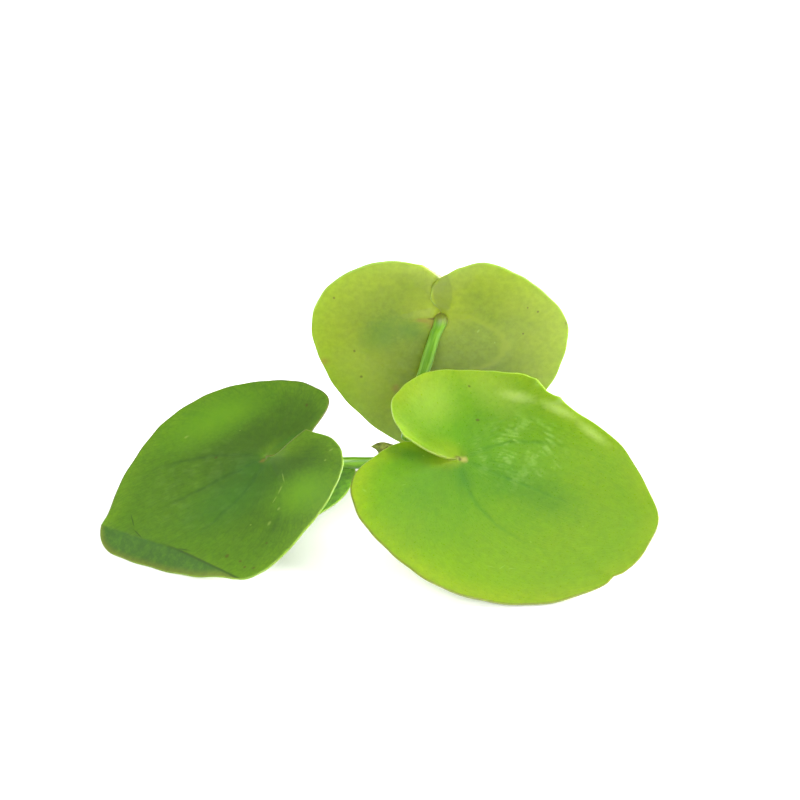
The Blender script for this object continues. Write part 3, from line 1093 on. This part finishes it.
def blade_finish(name):
    """The finish of one blade. Colour: middle to outer to rim by the distance from the stalk
    and from the edge, then veins, streaks and net, then the underside, then the marks."""
    look, veins = GREENS[name], VEINS[name]
    made = bpy.data.materials.new(name + "_green")
    made.use_nodes = True
    tree = made.node_tree
    shader = tree.nodes["Principled BSDF"]
    leaf = put(tree, "ShaderNodeAttribute", attribute_name="leaf_mm").outputs["Vector"]
    edge = put(tree, "ShaderNodeAttribute", attribute_name="edge_mm").outputs["Fac"]
    upper = put(tree, "ShaderNodeAttribute", attribute_name="upper_side").outputs["Fac"]
    leaf_xyz = put(tree, "ShaderNodeSeparateXYZ", {0: leaf}).outputs
    arcs = use(tree, arc_group, {
        "Leaf mm": leaf, "Turn": math.radians(veins["turn"]), "Tip mm": veins["tip_at"]})
    cloud = put(tree, "ShaderNodeTexNoise", {
        "Vector": leaf, "Scale": 0.13, "Detail": 3.0, "Roughness": 0.55}).outputs["Fac"]
    mottle = put(tree, "ShaderNodeTexNoise", {
        "Vector": leaf, "Scale": 0.9, "Detail": 5.0, "Roughness": 0.7}).outputs["Fac"]
    cloudy = calc(tree, "MULTIPLY_ADD", calc(tree, "SUBTRACT", cloud, 0.5), 14.0, arcs["Out mm"])
    outer_share = fade_between(tree, cloudy, *look["dark_out"])
    colour = blend(tree, outer_share, look["middle"], look["outer"])
    rim_share = fade_between(tree, edge, 0.0, 5.0, 1.0, 0.0)
    rim_share = calc(tree, "MULTIPLY", rim_share, fade_between(tree, cloud, 0.3, 0.7, 0.4, 1.0))
    colour = blend(tree, rim_share, colour, look["rim"])
    if BLADES[name]["crease"]:
        fold = put(tree, "ShaderNodeAttribute", attribute_name="crease_mm").outputs["Vector"]
        fold_xyz = put(tree, "ShaderNodeSeparateXYZ", {0: fold}).outputs
        strip = fade_between(tree, fold_xyz[0], 0.1, 0.5)
        flecked = fade_between(tree, mottle, 0.42, 0.62, 0.95, 0.6)
        colour = blend(tree, calc(tree, "MULTIPLY", strip, flecked), colour, FOLDED_GREEN)
    main = use(tree, line_group, {
        "Angle": arcs["Angle"], "Out mm": arcs["Out mm"], "Leaf mm": leaf,
        "Spacing": math.radians(veins["spacing"]), "Width mm": 0.45, "Wander": 0.12})["Mask"]
    vein_fade = calc(tree, "MULTIPLY", fade_between(tree, leaf_xyz[0], 0.0, 3.0),
                     fade_between(tree, arcs["Out mm"], 10.0, 22.0, 1.0, 0.1))
    vein_share = calc(tree, "MULTIPLY", main, vein_fade)
    colour = blend(tree, calc(tree, "MULTIPLY", vein_share, look["veins"]), colour, look["vein"])
    streaks = use(tree, streak_group, {
        "Vein space": arcs["Vein space"], "Across": 42.0, "Along": 0.22, "Sharp": 0.35})["Mask"]
    colour = blend(tree, calc(tree, "MULTIPLY", streaks, look["streaks"]), colour, look["vein"])
    net = use(tree, net_group, {
        "Vein space": arcs["Vein space"], "Across": 30.0, "Along": 0.8, "Width": 0.12})
    colour = blend(tree, calc(tree, "MULTIPLY", net["Lines"], look["net"]), colour, look["vein"])
    below_share = calc(tree, "MULTIPLY_ADD", calc(tree, "SUBTRACT", cloud, 0.5), 10.0, edge)
    below_share = fade_between(tree, below_share, 0.0, 13.0, 1.0, 0.0)
    below = blend(tree, below_share, look["below"], look["below_rim"])
    colour = blend(tree, upper, below, colour)
    spread = look["mottle"]
    mottled = fade_between(tree, mottle, 0.3, 0.7, 1.0 - spread, 1.0 + spread)
    grey = put(tree, "ShaderNodeCombineXYZ", {0: mottled, 1: mottled, 2: mottled}).outputs[0]
    colour = blend(tree, 0.6, colour, grey, "MULTIPLY")
    ripple = put(tree, "ShaderNodeAttribute", attribute_name="ripple").outputs["Fac"]
    broken = put(tree, "ShaderNodeTexNoise", {
        "Vector": leaf, "Scale": 0.35, "Detail": 3.0}).outputs["Fac"]
    rippled = fade_between(tree, ripple, 0.5, 1.0, 0.0, look["ripples"])
    rippled = calc(tree, "MULTIPLY", rippled, fade_between(tree, broken, 0.45, 0.62))
    colour = blend(tree, rippled, colour, PALE_RIPPLE)
    if look["ring"]:
        ring = use(tree, ring_group, {
            "Leaf mm": leaf, "At mm": PADS[name][:2] + (0.0,), "Half length": PADS[name][2],
            "Half width": PADS[name][3]})["Mask"]
        ring = calc(tree, "MULTIPLY", ring, fade_between(tree, leaf_xyz[1], 2.0, -6.0, 0.25, 1.0))
        colour = blend(tree, calc(tree, "MULTIPLY", ring, look["ring"]), colour, look["below_rim"])
    if BLADES[name]["crease"]:
        line = fade_between(tree, calc(tree, "ABSOLUTE", calc(tree, "SUBTRACT", fold_xyz[0], 0.2)), 0.05, 0.3, 0.7, 0.0)
        line = calc(tree, "MULTIPLY", line, fade_between(tree, fold_xyz[1], -7.0, -1.0, 0.15, 1.0))
        colour = blend(tree, line, colour, INKS["crack"][0])
        olive = calc(tree, "MULTIPLY", strip, fade_between(tree, edge, 0.1, 1.6, 0.6, 0.0))
        colour = blend(tree, olive, colour, FOLDED_MARGIN)
    for ink, places in MARKS[name].items():
        tint, strength, ragged, soft = INKS[ink]
        mask = marks(tree, leaf, places, ragged, soft)
        colour = blend(tree, calc(tree, "MULTIPLY", mask, strength), colour, tint)
    turn = math.radians(look["edge_turn"])
    across = calc(tree, "MULTIPLY", leaf_xyz[0], -math.sin(turn))
    across = calc(tree, "MULTIPLY_ADD", leaf_xyz[1], math.cos(turn), across)
    left_side = fade_between(tree, across, -6.0, 6.0)
    edge_colour = blend(tree, left_side, look["edge_right"], look["edge_left"])
    edge_line = fade_between(tree, edge, 0.1, 0.4, 0.8, 0.0)
    colour = blend(tree, edge_line, colour, edge_colour)
    grain = put(tree, "ShaderNodeTexNoise", {
        "Vector": leaf, "Scale": 3.0, "Detail": 4.0, "Roughness": 0.6}).outputs["Fac"]
    rough = calc(tree, "MULTIPLY_ADD", grain, 0.2, look["gloss"] - 0.1)
    height = calc(tree, "MULTIPLY_ADD", net["Cushion"], look["net_height"], calc(tree, "MULTIPLY", grain, 0.25))
    bump = put(tree, "ShaderNodeBump", {"Height": height, "Strength": 0.35, "Distance": 0.00006})
    tree.links.new(colour, shader.inputs["Base Color"])
    tree.links.new(rough, shader.inputs["Roughness"])
    tree.links.new(bump.outputs[0], shader.inputs["Normal"])
    shader.inputs["Subsurface Weight"].default_value = LIGHT_THROUGH
    shader.inputs["Subsurface Radius"].default_value = LIGHT_DEPTH_MM
    shader.inputs["Subsurface Scale"].default_value = MM * LIGHT_DEPTH_SCALE
    shader.inputs["Coat Weight"].default_value = look["wet"]
    shader.inputs["Coat Roughness"].default_value = 0.18
    shader.inputs["Specular IOR Level"].default_value = look["mirror"]
    return made


for name, piece in blades.items():
    piece.data.materials.append(blade_finish(name))
print("finished", list(blades))

# %% [markdown]
# ## Stalks, rootstock and scale
#
# A stalk is wet and glossy, bright green with paler streaks along it, and browner where it
# meets the blade. The rootstock and the scale are dull and brown.


# %% Finishes of the small pieces
def stalk_finish(name, dark, light):
    """Streaks along the stalk from noise on a circle and its length, browner at the blade."""
    made = bpy.data.materials.new(name)
    made.use_nodes = True
    tree = made.node_tree
    shader = tree.nodes["Principled BSDF"]
    place = put(tree, "ShaderNodeAttribute", attribute_name="round_and_along").outputs["Vector"]
    to_blade = put(tree, "ShaderNodeAttribute", attribute_name="to_blade_mm").outputs["Fac"]
    streak = put(tree, "ShaderNodeTexNoise", {
        "Vector": place, "Scale": 2.4, "Detail": 4.0, "Roughness": 0.6}).outputs["Fac"]
    colour = blend(tree, fade_between(tree, streak, 0.35, 0.65), dark, light)
    ends = fade_between(tree, to_blade, 0.3, 1.6, 0.75, 0.0)
    colour = blend(tree, ends, colour, (0.16, 0.11, 0.03, 1))
    bump = put(tree, "ShaderNodeBump", {"Height": streak, "Strength": 0.3, "Distance": 0.0001})
    tree.links.new(colour, shader.inputs["Base Color"])
    tree.links.new(calc(tree, "MULTIPLY_ADD", streak, 0.2, 0.25), shader.inputs["Roughness"])
    tree.links.new(bump.outputs[0], shader.inputs["Normal"])
    shader.inputs["Subsurface Weight"].default_value = 0.5
    shader.inputs["Subsurface Radius"].default_value = (0.8, 1.0, 0.3)
    shader.inputs["Subsurface Scale"].default_value = MM * 0.8
    shader.inputs["Specular IOR Level"].default_value = 0.3
    return made


def withered_finish(name, dark, light, scale_by):
    """Mottled brown on Object coordinates, with a fine uneven skin."""
    made = bpy.data.materials.new(name)
    made.use_nodes = True
    tree = made.node_tree
    shader = tree.nodes["Principled BSDF"]
    place = put(tree, "ShaderNodeTexCoord").outputs["Object"]
    mottle = put(tree, "ShaderNodeTexNoise", {
        "Vector": place, "Scale": scale_by, "Detail": 5.0, "Roughness": 0.65}).outputs["Fac"]
    colour = blend(tree, fade_between(tree, mottle, 0.35, 0.65), dark, light)
    bump = put(tree, "ShaderNodeBump", {"Height": mottle, "Strength": 0.6, "Distance": 0.0002})
    tree.links.new(colour, shader.inputs["Base Color"])
    tree.links.new(calc(tree, "MULTIPLY_ADD", mottle, 0.3, 0.45), shader.inputs["Roughness"])
    tree.links.new(bump.outputs[0], shader.inputs["Normal"])
    shader.inputs["Specular IOR Level"].default_value = 0.25
    shader.inputs["Subsurface Weight"].default_value = 0.2
    shader.inputs["Subsurface Scale"].default_value = MM * 0.3
    return made


stalk_green = stalk_finish("stalk_green", (0.070, 0.180, 0.004, 1), (0.120, 0.270, 0.006, 1))
stalk_tan = stalk_finish("stalk_tan", (0.200, 0.200, 0.030, 1), (0.330, 0.320, 0.070, 1))
for name, piece in stalks.items():
    piece.data.materials.append(stalk_tan if name == "stalk_small" else stalk_green)
rootstock.data.materials.append(
    withered_finish("rootstock_brown", (0.050, 0.040, 0.015, 1), (0.14, 0.12, 0.05, 1), 1400.0)
)
scale.data.materials.append(
    withered_finish("scale_brown", (0.110, 0.125, 0.022, 1), (0.290, 0.340, 0.060, 1), 1700.0)
)
print("materials:", sorted(m.name for m in bpy.data.materials))

# %% [markdown]
# ## Hand the pieces to the frame
#
# Each piece stands for one node of the plain model, rides on its single body, and names the
# finish that it has in the record.

# %% Ride, replace, name the slots
dressed = dict(blades)
dressed.update(stalks)
dressed.update({"rootstock": rootstock, "scale": scale})
for node, piece in dressed.items():
    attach(piece, "root")
    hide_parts(node)
print(len(dressed), "pieces")
